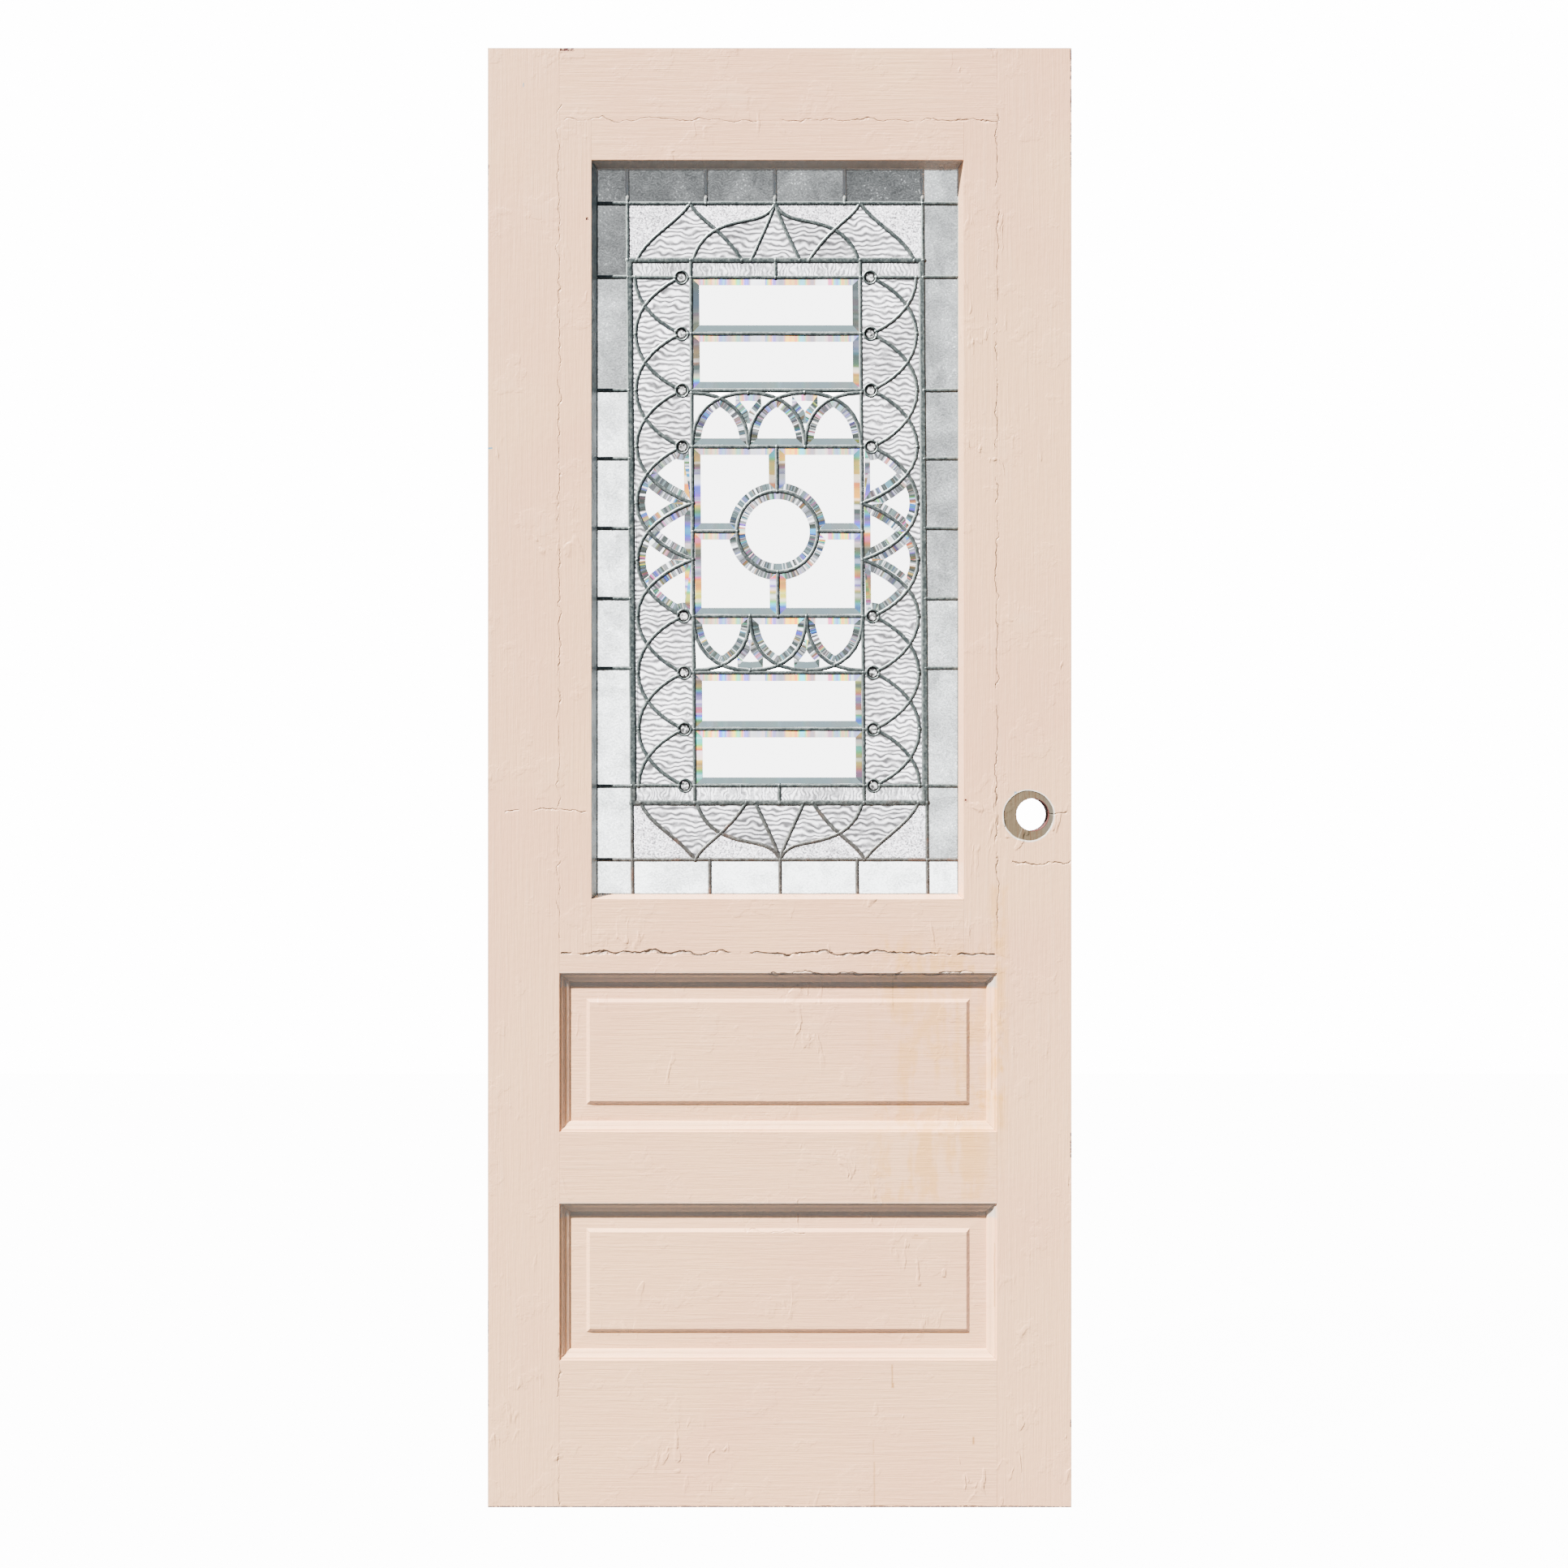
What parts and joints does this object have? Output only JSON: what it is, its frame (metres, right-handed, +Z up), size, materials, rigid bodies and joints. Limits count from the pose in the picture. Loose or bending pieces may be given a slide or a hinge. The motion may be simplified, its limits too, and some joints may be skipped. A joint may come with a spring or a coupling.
{
  "type": "front door",
  "caption": "Old painted wooden front door slab with a leaded panel of bevelled and textured clear glass above two raised panels, bored for a lock",
  "frame": {"origin": "on the hinge edge of the slab, half way up its height and half way through its thickness", "axes": "+Z up, the face in the picture looks along -Y, +X runs from the hinge edge to the lock edge"},
  "size_m": [0.9144, 0.0446, 2.286],
  "materials": {
    "painted_wood": "old cream oil paint over wood, brush-marked, chipped at the edges",
    "lead": "dull grey lead came with solder joints, holding clear textured glass",
    "bevelled_glass": "clear polished plate glass with bevelled edges"
  },
  "bodies": {
    "root": {"arch_bevel_lower_1": "bevelled_glass", "arch_bevel_lower_2": "bevelled_glass", "arch_bevel_lower_3": "bevelled_glass", "arch_bevel_upper_1": "bevelled_glass", "arch_bevel_upper_2": "bevelled_glass", "arch_bevel_upper_3": "bevelled_glass", "between_bevel_lower_1": "bevelled_glass", "between_bevel_lower_2": "bevelled_glass", "between_bevel_upper_1": "bevelled_glass", "between_bevel_upper_2": "bevelled_glass", "bottom_rail": "painted_wood", "circle_bevel": "bevelled_glass", "filler_bottom": "painted_wood", "filler_hinge_side": "painted_wood", "filler_lock_side": "painted_wood", "filler_top": "painted_wood", "glazing_bead_bottom": "painted_wood", "glazing_bead_hinge_side": "painted_wood", "glazing_bead_lock_side": "painted_wood", "glazing_bead_top": "painted_wood", "hinge_stile": "painted_wood", "lead_and_textured_glass": "lead", "leaf_bevel_left_1": "bevelled_glass", "leaf_bevel_left_2": "bevelled_glass", "leaf_bevel_left_3": "bevelled_glass", "leaf_bevel_right_1": "bevelled_glass", "leaf_bevel_right_2": "bevelled_glass", "leaf_bevel_right_3": "bevelled_glass", "lock_rail": "painted_wood", "lock_stile": "painted_wood", "lower_panel": "painted_wood", "middle_rail": "painted_wood", "plain_corner_lower_left": "bevelled_glass", "plain_corner_lower_right": "bevelled_glass", "plain_corner_upper_left": "bevelled_glass", "plain_corner_upper_right": "bevelled_glass", "row_bevel_lowest": "bevelled_glass", "row_bevel_second": "bevelled_glass", "row_bevel_third": "bevelled_glass", "row_bevel_upper": "bevelled_glass", "shield_bevel_left_1": "bevelled_glass", "shield_bevel_left_2": "bevelled_glass", "shield_bevel_right_1": "bevelled_glass", "shield_bevel_right_2": "bevelled_glass", "square_bevel_lower_left": "bevelled_glass", "square_bevel_lower_right": "bevelled_glass", "square_bevel_upper_left": "bevelled_glass", "square_bevel_upper_right": "bevelled_glass", "top_rail": "painted_wood", "upper_panel": "painted_wood"}
  },
  "joints": []
}
